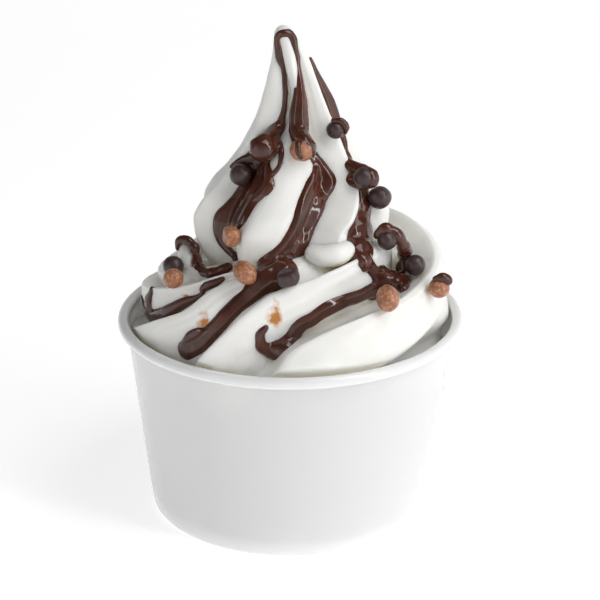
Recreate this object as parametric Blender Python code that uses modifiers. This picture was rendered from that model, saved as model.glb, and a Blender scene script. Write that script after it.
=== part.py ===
"""Frozen yogurt cup: a round paper cup with a rolled rim, filled with a soft-serve swirl that
carries crisp chocolate pearls.  Metres, +Z up, origin at the centre of the cup's foot.

The swirl is two lobed bodies of one solid: the skirt, a thick ribbed coil that fills the cup and
leans over its rim, and the peak, a tall ribbed cone that stands on the skirt.  Angles are in
degrees about +Z, 0 at the front (-Y), growing towards +X.  Lengths below are in millimetres.
"""
import math

import bmesh
import bpy
import numpy as np
from mathutils import Quaternion, Vector
from mathutils.bvhtree import BVHTree

MM = 0.001
GAP = 0.3                     # between touching pieces

# ---------------------------------------------------------------- paper cup
CUP_HEIGHT = 56.6
RIM_TUBE = 1.6                # radius of the rolled rim
RIM_RADIUS = 46.9             # centre of the roll
BASE_RADIUS = 40.0            # outside of the wall at the foot
TOP_RADIUS = 46.0             # outside of the wall under the roll
WALL = 0.7
FLOOR_TOP = 3.6               # the cup's floor sits above a shallow recess
FLOOR_THICK = 0.7
FOOT_WIDTH = 1.5
CUP_SEGMENTS = 48

COLUMN_WIDTH = 12.0           # widest step round the swirl, in degrees

# ---------------------------------------------------------------- peak
# station, radius, height, shift along X, depth of the grooves as a share of the radius
PEAK = (
    (0.0, 0.0, 138.4, -1.7, 0.00),
    (0.25, 1.2, 138.0, -1.7, 0.00),
    (0.5, 2.2, 137.1, -1.6, 0.03),
    (1.0, 3.6, 134.4, -0.8, 0.12),
    (1.5, 4.7, 131.3, 0.0, 0.22),
    (2.0, 6.2, 127.0, 0.5, 0.30),
    (3.0, 9.2, 119.0, 1.1, 0.30),
    (4.0, 12.5, 111.0, 1.5, 0.28),
    (5.0, 16.4, 104.0, 1.5, 0.27),
    (6.0, 21.4, 97.0, 1.3, 0.26),
    (7.0, 26.4, 91.0, 0.6, 0.24),
    (7.7, 28.0, 86.5, 0.0, 0.22),
    (8.3, 27.6, 82.0, 0.0, 0.20),
    (8.8, 26.3, 78.0, 0.0, 0.17),
    (9.4, 22.0, 71.0, 0.0, 0.10),
)
PEAK_ROWS = 26
# Each rib: angle of the groove on its left and of its crest at the heights below, the depth factor of
# that groove, and the sweeps of the rib's fall from its crest to the left and to the right: above 1 the
# crest is round and the groove sharp, below 1 the fall is steep at the crest and flat in the groove.
PEAK_AT = (139.6, 131, 121, 113, 107, 102, 97, 91, 85, 78)
PEAK_RIBS = (
    ((-100, -100, -100, -98, -98, -99, -100, -100, -98, -94),
     (-78, -76, -66, -62, -68, -70, -71, -72, -71, -68), 1.1, 1.3, 0.8),
    ((-50, -40, -10, -20, -42, -47, -49, -50, -49, -45),
     (0, 0, 7, 0, -15, -19, -22, -25, -27, -28), 1.5, 1.0, 2.2),
    ((15, 25, 29, 23, 20, 29, 28, 16, 8, 0),
     (60, 62, 58, 57, 57, 56, 51, 38, 26, 16), 1.4, 0.75, 1.4),
    ((85, 85, 85, 85, 78, 72, 63, 51, 42, 36),
     (105, 105, 108, 105, 102, 98, 92, 80, 70, 62), 0.9, 1.4, 1.6),
)
PEAK_BACK_RIBS = 4
# Swellings, and hollows where negative: angle, height, half width in degrees, half height, depth.
PEAK_SWELLS = (
    (24.0, 83.0, 16.0, 3.2, 2.2),
    (24.0, 87.6, 14.0, 1.6, -1.4),
)

# ---------------------------------------------------------------- skirt
# station, radius, height, depth of the grooves
SKIRT = (
    (0.0, 0.0, 83.0, 0.0),
    (1.0, 20.0, 84.0, 3.0),
    (2.0, 30.0, 83.5, 6.5),
    (3.0, 36.0, 80.0, 7.0),
    (4.0, 41.3, 75.6, 6.5),
    (5.0, 44.2, 71.0, 6.0),
    (6.0, 45.5, 66.0, 5.5),
    (7.0, 46.0, 60.5, 4.4),
    (8.0, 45.6, 55.0, 3.0),
    (9.0, 44.6, 49.0, 1.5),
    (10.0, 43.7, 44.0, 0.0),
)
SKIRT_CORE = (24.0, 58.0)     # radius and height that the grooves sink towards
SKIRT_ROWS = 32
SKIRT_AT = (1.0, 2.0, 3.0, 4.0, 4.4, 5.0, 6.0, 7.0, 8.0, 9.0, 10.0)
SKIRT_RIBS = (
    ((-10, -36, -64, -110, -120, -132, -143, -151, -158, -162, -165),
     (0, -30, -52, -92, -104, -120, -135, -145, -154, -159, -162), 1.5, 0.8, 1.5),
    ((0, -26, -38.5, -47, -53, -65, -86, -105, -122, -131, -135),
     (10, -18, -35.5, -42, -47, -57, -73, -88, -104, -114, -120), 1.4, 1.2, 1.5),
    ((45, 18, -9, -19.5, -22, -25, -31.5, -35, -38, -40, -42),
     (60, 45, -5, -16.5, -19.5, -23, -29, -33, -36, -38, -40), 1.0, 1.5, 1.5),
    ((135, 95, 50, 10, 4, -2, -6, -9, -14, -19, -23),
     (165, 145, 106, 72, 50, 16, 0, -4, -9, -14, -18), 1.8, 0.4, 4.0),
    ((230, 205, 172, 152, 146, 134, 116, 89, 49, 13, -4),
     (250, 225, 192, 170, 164, 154, 140, 121, 91, 58, 39), 1.7, 1.2, 1.5),
)
SKIRT_BACK_RIBS = 2
SKIRT_TILT = 3.5              # the skirt is lower opposite this angle
SKIRT_HIGH_SIDE = 80.0
SKIRT_BLEND = 22.0            # height over which the tilt and the dip fade in
SKIRT_SWELLS = (
    (8.0, 60.0, 9.0, 4.0, 1.2),
    (64.0, 51.0, 20.0, 5.5, -9.0),
)
SKIRT_DIP = (4.5, -105.0, 50.0)   # further dip: depth, angle, half width in degrees
BACK_SWEEP = 1.5

# ---------------------------------------------------------------- crisp pearls
# name, azimuth, distance from the axis, height, radius, thickness and length as shares of the width,
# turn of the length about the direction the piece faces
PEARLS = (
    ("pearl_dark_peak_left", -46, 18.8, 100.8, 3.1, 1.0, 1.0, 0),
    ("pearl_dark_peak_high_left", -30, 14.9, 108.6, 3.1, 1.0, 1.0, 0),
    ("pearl_dark_peak_high_right", 50, 16.1, 112.6, 2.6, 1.0, 1.0, 0),
    ("pearl_dark_peak_right", 55, 24.1, 100.2, 3.0, 1.0, 1.0, 0),
    ("pearl_dark_shoulder_right", 63.5, 27.9, 94.9, 3.2, 1.0, 1.0, 0),
    ("pearl_dark_skirt_left", -65.5, 34.7, 75.2, 3.0, 1.0, 1.0, 0),
    ("pearl_dark_skirt_right", 64.5, 36.7, 77.2, 2.9, 1.0, 1.0, 0),
    ("pearl_dark_valley_right", 54, 32.2, 84.5, 2.8, 1.0, 1.0, 0),
    ("pearl_milk_peak_front", 11, 16.9, 108.9, 3.2, 1.0, 1.0, 0),
    ("pearl_milk_foot_left", -20, 34.7, 80.6, 2.9, 1.0, 1.3, -42),
    ("pearl_milk_skirt_left", -55.0, 38.0, 74.5, 2.8, 1.0, 1.0, 0),
    ("pearl_milk_skirt_front", 35, 44.6, 74.8, 3.2, 1.0, 1.2, 80),
    ("pearl_milk_skirt_right", 58.5, 47.4, 73.2, 2.9, 1.0, 1.0, 0),
    ("chip_dark_foot_front", -1, 35.3, 80.8, 2.7, 0.8, 1.1, 60),
    ("chip_milk_foot_left", -33, 27.4, 87.0, 2.4, 0.85, 1.1, 80),
)
CHIP_SQUARENESS = 0.6         # power that draws a ball's coordinates out towards a block's


def spline(knots, at):
    """Values at each position of `at` on a smooth curve without overshoot through (position, values...)."""
    table = np.asarray(knots, float)
    x, y = table[:, 0], table[:, 1:]
    width = np.diff(x)[:, None]
    slope = np.diff(y, axis=0) / width
    tangent = np.zeros_like(y)
    before, after = slope[:-1], slope[1:]
    weight_a, weight_b = width[:-1] + 2 * width[1:], 2 * width[:-1] + width[1:]
    turning = before * after <= 0
    safe_a, safe_b = np.where(turning, 1.0, before), np.where(turning, 1.0, after)
    mean = (weight_a + weight_b) / (weight_a / safe_a + weight_b / safe_b)
    tangent[1:-1] = np.where(turning, 0.0, mean)
    tangent[0], tangent[-1] = slope[0], slope[-1]
    at = np.asarray(at, float)
    i = np.clip(np.searchsorted(x, at) - 1, 0, len(x) - 2)
    h = width[i]
    u = np.clip((at - x[i])[..., None] / h, 0, 1)
    return ((2 * u**3 - 3 * u**2 + 1) * y[i] + (u**3 - 2 * u**2 + u) * h * tangent[i]
            + (3 * u**2 - 2 * u**3) * y[i + 1] + (u**3 - u**2) * h * tangent[i + 1])


def fall(from_crest, sweep):
    """Share of the groove's depth at a share of the way from the crest to the groove."""
    return from_crest**sweep if sweep >= 1 else 1 - (1 - from_crest)**(1 / sweep)


def rib_columns(ribs, stations, back_ribs, at, column_width):
    """Angle and sink (0 on a crest, 1 in a groove) for each row and column of a lobed body.

    The named ribs have their own grooves and crests; `back_ribs` more share the turn that is left.
    A flank has as many columns as its widest row needs at `column_width` degrees each."""
    grooves = [spline(list(zip(stations, rib[0])), at)[..., 0] for rib in ribs]
    crests = [spline(list(zip(stations, rib[1])), at)[..., 0] for rib in ribs]
    factors = [rib[2] for rib in ribs]
    sweeps = [rib[3:] for rib in ribs] + [(BACK_SWEEP, BACK_SWEEP)] * back_ribs
    full_turn = grooves[0] + 360.0
    start = np.minimum(2 * crests[-1] - grooves[-1], full_turn - 25.0 * back_ribs)
    step = (full_turn - start) / back_ribs
    for k in range(back_ribs):
        grooves.append(start + step * k)
        crests.append(start + step * (k + 0.42))
        factors.append(1.0)
    grooves.append(full_turn)
    factors.append(factors[0])
    angle, sink = [], []
    for k, crest in enumerate(crests):
        for side, start, stop in ((0, grooves[k], crest), (1, crest, grooves[k + 1])):
            columns = max(2, math.ceil((stop - start).max() / column_width))
            for i in range(columns):
                u = i / columns
                from_crest = u if side else 1 - u
                angle.append(start + (stop - start) * u)
                sink.append(factors[k + side] * fall(from_crest, sweeps[k][side]))
    return np.radians(np.array(angle).T), np.array(sink)


def swelling(swells, angle, height):
    """How far local swellings and hollows push a surface outwards."""
    push = 0 * angle
    for at_angle, at_height, wide, tall, depth in swells:
        off = (np.degrees(angle) - at_angle + 180) % 360 - 180
        push = push + depth * np.exp(-(off / wide)**2 - ((height - at_height) / tall)**2)
    return push


def peak_points(rows, column_width):
    """Rings of points of the peak, tip first."""
    profile = spline(PEAK, np.linspace(0, PEAK[-1][0], rows + 1)[1:])
    radius, height, shift, share = (profile[:, i:i + 1] for i in range(4))
    angle, sink = rib_columns(PEAK_RIBS, [-z for z in PEAK_AT], PEAK_BACK_RIBS,
                              -height[:, 0], column_width)
    out = radius * (1 - share * sink) + swelling(PEAK_SWELLS, angle, height)
    return np.stack([shift + out * np.sin(angle), -out * np.cos(angle),
                     height + 0 * angle], axis=-1)


def inner_wall(height):
    """Radius of the cup's inside at a height."""
    foot, top = BASE_RADIUS - WALL, RIM_RADIUS - RIM_TUBE
    return foot + (top - foot) * height / (CUP_HEIGHT - RIM_TUBE)


def clear_of_cup(height):
    """Largest radius of the filling at a height: a gap off the wall and the roll, free above them."""
    in_cup = np.minimum(height, CUP_HEIGHT - 2 * RIM_TUBE)
    return inner_wall(in_cup) - 1.3 * GAP + 0.8 * np.clip(height - CUP_HEIGHT, 0, None)


def skirt_points(rows, column_width):
    """Rings of points of the skirt from its top, then down the inside of the cup to its floor."""
    station = np.linspace(0.5, SKIRT[-1][0], rows)
    profile = spline(SKIRT, station)
    radius, height, depth = (profile[:, i:i + 1] for i in range(3))
    angle, sink = rib_columns(SKIRT_RIBS, SKIRT_AT, SKIRT_BACK_RIBS,
                              np.clip(station, 1, None), column_width)
    to_core = np.concatenate([SKIRT_CORE[0] - radius, SKIRT_CORE[1] - height], axis=1)
    to_core /= np.linalg.norm(to_core, axis=1, keepdims=True)
    sink = depth * sink
    radius = radius + sink * to_core[:, :1] * np.clip(radius / 20, 0, 1) + swelling(SKIRT_SWELLS, angle, height)
    height = height + sink * to_core[:, 1:]
    exposed = np.clip((height - SKIRT[-1][2]) / SKIRT_BLEND, 0, 1)
    tilt = SKIRT_TILT * (np.cos(angle - math.radians(SKIRT_HIGH_SIDE)) - 1)
    off = (np.degrees(angle) - SKIRT_DIP[1] + 180) % 360 - 180
    dip = -SKIRT_DIP[0] * np.exp(-(off / SKIRT_DIP[2])**2)
    height = height + (tilt + dip) * exposed
    radius = np.minimum(radius, clear_of_cup(height))
    rings = [np.stack([radius * np.sin(angle), -radius * np.cos(angle), height], axis=-1)]
    for z in np.linspace(SKIRT[-1][2] - 8, FLOOR_TOP + GAP, 4):
        r = clear_of_cup(z)
        rings.append(np.stack([r * np.sin(angle[-1]), -r * np.cos(angle[-1]),
                               np.full_like(angle[-1], z)], axis=-1)[None])
    return np.concatenate(rings)


def lofted(name, rings, ends, material, collection):
    """Closed solid through rings of points (mm), closed by fans of triangles to its two end points."""
    rows, cols = rings.shape[:2]
    mesh = bpy.data.meshes.new(name)
    bm = bmesh.new()
    grid = [[bm.verts.new(Vector(p) * MM) for p in ring] for ring in rings]
    for upper, lower in zip(grid, grid[1:]):
        for j in range(cols):
            k = (j + 1) % cols
            bm.faces.new((upper[j], lower[j], lower[k], upper[k]))
    for end, ring, order in ((ends[0], 0, 1), (ends[1], -1, -1)):
        centre = bm.verts.new(Vector(end) * MM)
        for j in range(cols):
            bm.faces.new((centre, grid[ring][j], grid[ring][(j + 1) % cols])[::order])
    bmesh.ops.triangulate(bm, faces=bm.faces)
    bm.to_mesh(mesh)
    bm.free()
    return add_object(name, mesh, material, collection)


def add_object(name, mesh, material, collection):
    mesh.materials.append(material)
    mesh.shade_smooth()
    obj = bpy.data.objects.new(name, mesh)
    collection.objects.link(obj)
    return obj


def make_material(name, colour, roughness):
    material = bpy.data.materials.new(name)
    material.use_nodes = True
    shader = material.node_tree.nodes["Principled BSDF"]
    shader.inputs["Base Color"].default_value = (*colour, 1)
    shader.inputs["Roughness"].default_value = roughness
    shader.inputs["Metallic"].default_value = 0.0
    return material


def make_collection(name):
    collection = bpy.data.collections.new(name)
    bpy.context.scene.collection.children.link(collection)
    return collection


def build_cup(material, collection):
    """Turned shell: floor, inside of the wall, rolled rim, outside of the wall, foot, recess."""
    rim_height = CUP_HEIGHT - RIM_TUBE
    profile = [(0, FLOOR_TOP), (inner_wall(FLOOR_TOP), FLOOR_TOP)]
    for degrees in range(180, -121, -30):
        turn = math.radians(degrees)
        profile.append((RIM_RADIUS + RIM_TUBE * math.cos(turn), rim_height + RIM_TUBE * math.sin(turn)))
    profile += [
        (BASE_RADIUS + 0.03, 0.5),
        (BASE_RADIUS - 0.3, 0),
        (BASE_RADIUS - FOOT_WIDTH, 0),
        (BASE_RADIUS - FOOT_WIDTH, FLOOR_TOP - FLOOR_THICK),
        (0, FLOOR_TOP - FLOOR_THICK),
    ]
    mesh = bpy.data.meshes.new("cup")
    mesh.from_pydata([(r * MM, 0, z * MM) for r, z in profile],
                     [(i, i + 1) for i in range(len(profile) - 1)], [])
    cup = add_object("cup", mesh, material, collection)
    screw = cup.modifiers.new("turn", "SCREW")
    screw.steps = CUP_SEGMENTS
    screw.render_steps = CUP_SEGMENTS
    screw.use_merge_vertices = True
    screw.merge_threshold = 0.00001
    return cup


def build_yogurt(material, parts, cutters):
    """Skirt and peak, joined into one solid."""
    skirt_ends = (0, 0, SKIRT[0][2]), (0, 0, FLOOR_TOP + GAP)
    yogurt = lofted("yogurt", skirt_points(SKIRT_ROWS, COLUMN_WIDTH), skirt_ends, material, parts)
    peak_ends = (PEAK[0][3], 0, PEAK[0][2]), (0, 0, PEAK[-1][2])
    peak = lofted("peak", peak_points(PEAK_ROWS, COLUMN_WIDTH), peak_ends, material, cutters)
    peak.hide_render = True
    peak.display_type = "WIRE"
    union = yogurt.modifiers.new("peak", "BOOLEAN")
    union.operation = "UNION"
    union.solver = "EXACT"
    union.object = peak
    return yogurt


def seat(centre, radius, surface):
    """Moves a round piece out of or on to a surface (BVH tree) until a gap separates them; also its facing."""
    for _ in range(12):
        nearest, normal, _, _ = surface.find_nearest(centre)
        away = centre - nearest
        if away.dot(normal) < 0:
            away = -away
        centre = nearest + away.normalized() * (radius + GAP * MM)
    return centre, away


def build_pearls(yogurt, dark, milk, collection):
    """Crisp pearls and a chip, each a small ball resting on the swirl, the flatter ones lying on it."""
    surface = BVHTree.FromObject(yogurt, bpy.context.evaluated_depsgraph_get())
    for name, azimuth, distance, height, radius, thickness, length, turn in PEARLS:
        around = math.radians(azimuth)
        start = Vector((distance * math.sin(around), -distance * math.cos(around), height)) * MM
        centre, facing = seat(start, radius * thickness * MM, surface)
        bm = bmesh.new()
        bmesh.ops.create_icosphere(bm, subdivisions=2, radius=1)
        for vert in bm.verts:
            if name.startswith("chip"):
                squared = Vector([math.copysign(abs(c)**CHIP_SQUARENESS, c) for c in vert.co])
                vert.co = squared * (1 / max(1, squared.length * 0.8))
            vert.co = Vector((vert.co.x * length, vert.co.y, vert.co.z * thickness)) * radius * MM
        mesh = bpy.data.meshes.new(name)
        bm.to_mesh(mesh)
        bm.free()
        pearl = add_object(name, mesh, milk if "milk" in name else dark, collection)
        pearl.location = centre
        pearl.rotation_mode = "QUATERNION"
        pearl.rotation_quaternion = facing.to_track_quat("Z", "Y") @ Quaternion((0, 0, 1), math.radians(turn))


def main():
    for obj in list(bpy.data.objects):
        bpy.data.objects.remove(obj, do_unlink=True)
    parts = make_collection("frozen_yogurt_cup")
    cutters = make_collection("cutters")
    paper = make_material("cup_paper", (0.90, 0.90, 0.89), 0.35)
    cream = make_material("yogurt", (0.93, 0.92, 0.87), 0.45)
    dark = make_material("dark_chocolate", (0.035, 0.016, 0.010), 0.3)
    milk = make_material("milk_chocolate", (0.25, 0.09, 0.035), 0.4)
    build_cup(paper, parts)
    yogurt = build_yogurt(cream, parts, cutters)
    build_pearls(yogurt, dark, milk, parts)


main()
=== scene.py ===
"""Frozen yogurt cup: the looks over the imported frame.

The swirl is made again from the same ribs and grooves as in the CAD, only much finer.  Chocolate sauce
is poured along routes on it, the pearls get their coats, and the paper cup its rolled rim and seam.
Lengths are in millimetres and angles in degrees about +Z, 0 at the front (-Y), growing towards +X.
"""
import math

import bmesh
import bpy
import numpy as np
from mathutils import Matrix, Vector, noise
from mathutils.bvhtree import BVHTree


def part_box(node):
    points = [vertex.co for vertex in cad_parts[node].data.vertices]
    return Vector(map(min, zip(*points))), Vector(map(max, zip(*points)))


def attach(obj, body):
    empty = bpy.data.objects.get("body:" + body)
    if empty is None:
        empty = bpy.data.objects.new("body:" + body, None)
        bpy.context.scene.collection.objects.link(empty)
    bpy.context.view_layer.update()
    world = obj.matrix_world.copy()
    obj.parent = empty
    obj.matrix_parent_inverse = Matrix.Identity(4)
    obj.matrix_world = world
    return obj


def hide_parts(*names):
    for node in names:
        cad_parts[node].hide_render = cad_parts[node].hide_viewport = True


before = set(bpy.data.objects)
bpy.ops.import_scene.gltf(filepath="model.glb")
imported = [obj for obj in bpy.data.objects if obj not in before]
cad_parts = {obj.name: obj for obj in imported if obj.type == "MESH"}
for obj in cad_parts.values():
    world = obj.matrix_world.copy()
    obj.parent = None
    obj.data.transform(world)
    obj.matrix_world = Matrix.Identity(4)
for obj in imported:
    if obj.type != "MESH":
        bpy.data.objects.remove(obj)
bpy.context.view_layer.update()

MM = 0.001
GAP = 0.3

# ---------------------------------------------------------------- paper cup
CUP_HEIGHT = 56.6
RIM_TUBE = 1.6
RIM_RADIUS = 46.9
BASE_RADIUS = 40.0
TOP_RADIUS = 46.0
WALL = 0.7
FLOOR_TOP = 3.6
FLOOR_THICK = 0.7
FOOT_WIDTH = 1.5
CUP_SEGMENTS = 192
SEAM_AT = 168.0               # angle of the wall's glued overlap
SEAM_STEP = 0.22              # how far the overlap stands proud
SEAM_WIDTH = 9

# ---------------------------------------------------------------- peak
# station, radius, height, shift along X, depth of the grooves as a share of the radius
PEAK = (
    (0.0, 0.0, 138.4, -1.7, 0.00),
    (0.25, 1.2, 138.0, -1.7, 0.00),
    (0.5, 2.2, 137.1, -1.6, 0.03),
    (1.0, 3.6, 134.4, -0.8, 0.12),
    (1.5, 4.7, 131.3, 0.0, 0.22),
    (2.0, 6.2, 127.0, 0.5, 0.30),
    (3.0, 9.2, 119.0, 1.1, 0.30),
    (4.0, 12.5, 111.0, 1.5, 0.28),
    (5.0, 16.4, 104.0, 1.5, 0.27),
    (6.0, 21.4, 97.0, 1.3, 0.26),
    (7.0, 26.4, 91.0, 0.6, 0.24),
    (7.7, 28.0, 86.5, 0.0, 0.22),
    (8.3, 27.6, 82.0, 0.0, 0.20),
    (8.8, 26.3, 78.0, 0.0, 0.17),
    (9.4, 22.0, 71.0, 0.0, 0.10),
)
# Each rib: angle of the groove on its left and of its crest at the heights below, the depth factor of
# that groove, and the sweeps of the rib's fall from its crest to the left and to the right.
PEAK_AT = (139.6, 131, 121, 113, 107, 102, 97, 91, 85, 78)
PEAK_RIBS = (
    ((-100, -100, -100, -98, -98, -99, -100, -100, -98, -94),
     (-78, -76, -66, -62, -68, -70, -71, -72, -71, -68), 1.1, 1.3, 0.8),
    ((-50, -40, -10, -20, -42, -47, -49, -50, -49, -45),
     (0, 0, 7, 0, -15, -19, -22, -25, -27, -28), 1.5, 1.0, 2.2),
    ((15, 25, 29, 23, 20, 29, 28, 16, 8, 0),
     (60, 62, 58, 57, 57, 56, 51, 38, 26, 16), 1.4, 0.75, 1.4),
    ((85, 85, 85, 85, 78, 72, 63, 51, 42, 36),
     (105, 105, 108, 105, 102, 98, 92, 80, 70, 62), 0.9, 1.4, 1.6),
)
PEAK_BACK_RIBS = 4
# Swellings, and hollows where negative: angle, height, half width in degrees, half height, depth.
PEAK_SWELLS = (
    (24.0, 83.0, 16.0, 3.2, 2.2),
    (24.0, 87.6, 14.0, 1.6, -1.4),
)

# ---------------------------------------------------------------- skirt
# station, radius, height, depth of the grooves
SKIRT = (
    (0.0, 0.0, 83.0, 0.0),
    (1.0, 20.0, 84.0, 3.0),
    (2.0, 30.0, 83.5, 6.5),
    (3.0, 36.0, 80.0, 7.0),
    (4.0, 41.3, 75.6, 6.5),
    (5.0, 44.2, 71.0, 6.0),
    (6.0, 45.5, 66.0, 5.5),
    (7.0, 46.0, 60.5, 4.4),
    (8.0, 45.6, 55.0, 3.0),
    (9.0, 44.6, 49.0, 1.5),
    (10.0, 43.7, 44.0, 0.0),
)
SKIRT_CORE = (24.0, 58.0)     # radius and height that the grooves sink towards
SKIRT_AT = (1.0, 2.0, 3.0, 4.0, 4.4, 5.0, 6.0, 7.0, 8.0, 9.0, 10.0)
SKIRT_RIBS = (
    ((-10, -36, -64, -110, -120, -132, -143, -151, -158, -162, -165),
     (0, -30, -52, -92, -104, -120, -135, -145, -154, -159, -162), 1.5, 0.8, 1.5),
    ((0, -26, -38.5, -47, -53, -65, -86, -105, -122, -131, -135),
     (10, -18, -35.5, -42, -47, -57, -73, -88, -104, -114, -120), 1.4, 1.2, 1.5),
    ((45, 18, -9, -19.5, -22, -25, -31.5, -35, -38, -40, -42),
     (60, 45, -5, -16.5, -19.5, -23, -29, -33, -36, -38, -40), 1.0, 1.5, 1.5),
    ((135, 95, 50, 10, 4, -2, -6, -9, -14, -19, -23),
     (165, 145, 106, 72, 50, 16, 0, -4, -9, -14, -18), 1.8, 0.4, 4.0),
    ((230, 205, 172, 152, 146, 134, 116, 89, 49, 13, -4),
     (250, 225, 192, 170, 164, 154, 140, 121, 91, 58, 39), 1.7, 1.2, 1.5),
)
SKIRT_BACK_RIBS = 2
SKIRT_SWELLS = (
    (8.0, 60.0, 9.0, 4.0, 1.2),
    (64.0, 51.0, 20.0, 5.5, -9.0),
)
SKIRT_TILT = 3.5              # half of how much lower the skirt is opposite its high side
SKIRT_HIGH_SIDE = 80.0
SKIRT_BLEND = 22.0            # height over which the tilt and the dip fade in
SKIRT_DIP = (4.5, -105.0, 50.0)   # further dip: depth, angle, half width in degrees
CUP_CLEARANCE = 1.3 * GAP     # between the filling and the inside of the cup
LEAN_OUT = 0.8                # how far the filling may lean out for each millimetre above the rim

# ---------------------------------------------------------------- finer forms, and what doesn't show
BACK_SWEEP = 1.5
BACK_RIB_TURN = 25.0          # least width of a rib at the back, in degrees
BACK_CREST = 0.42             # where its crest lies across it
STREAK_DEPTH = 0.45           # of the fine ridges left by the nozzle, which lie along the ribs
STREAK_COLUMNS = 2.2          # width of one of them, in columns of the mesh
STREAK_CHANGES = 3            # how often they change on the way from top to bottom
STREAK_FADE = 12              # radius of the peak under which they fade out
# Soft lumps of yogurt: angle, distance from the axis, height and radius along each.
LUMPS = (
    ((-78, 29.0, 77.9, 2.2), (-74, 29.2, 76.1, 2.6), (-70, 29.5, 74.2, 2.7), (-66.5, 30.0, 72.7, 2.6)),
    ((15, 24.6, 82.4, 2.6), (20, 26.6, 82.2, 3.0), (26, 27.6, 82.6, 3.2), (32, 27.8, 83.2, 2.8)),
)
LUMP_UNEVENNESS = 0.1
LUMP_VOXEL = 0.4
LUMP_SMOOTHING = 10
# Unevenness of each surface: size and depth of the waves.
YOGURT_WAVES = ((13.0, 0.35), (4.5, 0.10))
WAVES_FADE = 4                # height above the rim over which the yogurt's waves fade in
MILK_WAVES = ((2.6, 0.14), (0.9, 0.05))
DARK_WAVES = ((3.0, 0.12),)

# ---------------------------------------------------------------- fineness of the meshes
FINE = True
PEAK_ROWS = 170 if FINE else 90
SKIRT_ROWS = 200 if FINE else 100
COLUMN_WIDTH = 3.6 if FINE else 6.0   # of the swirl's grid, in degrees
SAUCE_VOXEL = 0.39 if FINE else 0.55
SAUCE_SMOOTHING = 12
PEARL_LEVELS = 3 if FINE else 1
SMALLEST_EDGE = 0.002         # shorter edges in a pearl's solid are closed up

# ---------------------------------------------------------------- chocolate sauce
# Routes of the sauce.  On the peak a place is an angle and a height; on the skirt it is an angle and a
# lean, which is the direction from the core ring: 90 straight up, 0 level.  Then comes half the width.
ON_PEAK = {
    "left_top": ((-61, 134.5, 1.1), (-56, 132, 1.2), (-46, 130, 1.2), (-28, 127, 0.7), (-20, 124.5, 0.8),
                 (-14, 121, 0.9), (-14, 118, 0.9), (-17, 115.5, 1.0), (-21, 113, 1.4), (-30, 110, 2.4),
                 (-39, 107.5, 3.0), (-48, 105.5, 2.8), (-55, 103.5, 2.4), (-61, 102.5, 1.5)),
    "left": ((-45, 105, 2.0), (-42, 102, 3.0), (-38, 99.5, 3.6), (-37, 96.5, 3.9), (-42, 93.5, 3.9),
             (-44, 91, 4.0), (-46, 88, 3.9), (-49, 86, 3.2), (-52, 83.5, 2.0)),
    "left_side": ((-55, 103, 1.6), (-54, 100, 2.0), (-53, 97.5, 2.0), (-54, 95, 2.0), (-55, 92.7, 2.0),
                  (-56.5, 90, 2.3), (-58, 87.4, 2.6), (-58, 84.7, 2.4), (-57, 82, 1.8), (-54, 80, 1.4),
                  (-50, 78.5, 1.2), (-46, 77.5, 1.1)),
    "left_crest": ((-30, 103.5, 1.0), (-22, 101.5, 1.7), (-19, 99.5, 2.0), (-22, 97.5, 2.2),
                   (-29, 95, 2.2), (-31, 92.8, 2.2), (-32, 90.8, 2.2), (-36, 88.3, 2.0), (-40, 86.5, 1.4)),
    "cap": ((-46, 102, 1.2), (-54, 103.6, 1.2), (-61, 103.2, 1.3), (-66, 102, 1.1), (-69, 100.8, 0.7)),
    "loop": ((-43, 102, 1.3), (-43, 104.5, 1.2), (-40, 106.5, 1.1), (-30, 108.3, 1.0), (-15, 109, 0.9),
             (-9, 107.6, 0.9), (-9, 105.6, 0.8), (-11, 103.6, 0.7), (-16, 102, 0.9)),
    "front_top": ((-68, 135, 0.9), (-51, 136.6, 1.0), (-14, 136.8, 1.2), (24, 135, 1.2), (26, 132.5, 1.0),
                  (33, 130, 1.0), (28, 126, 1.3), (24, 122.5, 1.5), (22, 119, 1.9), (19, 116.5, 2.1),
                  (18, 114, 2.2), (16, 111.5, 2.3), (19.3, 109.5, 2.3), (24, 107.5, 2.4), (31.5, 105, 2.4),
                  (38, 102.5, 2.2), (40, 100.5, 2.6)),
    "front": ((40, 100.5, 2.6), (40, 98.5, 3.0), (34, 96.5, 3.0), (27, 94.5, 3.1), (21, 92, 3.2),
              (15, 89.5, 3.2), (11, 87, 3.3), (7, 84.5, 3.6), (3, 82, 3.6)),
    "front_side": ((37, 103, 1.4), (31, 101, 1.9), (24, 99.3, 2.0), (18, 98, 2.0), (12, 95.8, 2.0),
                   (8, 93.2, 2.0), (5, 90.3, 2.0), (1, 87.4, 2.1), (-3, 84.9, 2.2), (-9, 82.4, 2.2),
                   (-14, 80.2, 2.0)),
    "front_curl": ((12, 113, 1.0), (7, 111.5, 0.9), (6, 109.5, 0.8), (9, 107.5, 0.7)),
    "right_top": ((99, 129, 0.6), (99, 124.5, 1.3), (99, 120.5, 2.1), (97, 117, 2.7), (93, 113.5, 2.9),
                  (91, 110.5, 2.3), (90, 108, 1.4), (87, 106, 1.0), (82, 104, 0.9), (80, 102, 1.0),
                  (76, 100.5, 1.2)),
    "right_ring": ((82, 103, 0.8), (74, 103, 0.9), (65, 102.8, 1.4), (59, 101.5, 1.9), (58, 99.5, 2.1),
                   (62, 97.8, 2.2), (68, 97, 2.0)),
    "right": ((74, 98.5, 2.3), (71, 96.5, 2.6), (66, 94.5, 2.8), (61, 92.7, 2.9), (56, 90.6, 3.0),
              (51, 88.4, 3.7), (46, 86, 4.2), (43, 83.7, 4.2), (41, 82, 3.4)),
}
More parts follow.
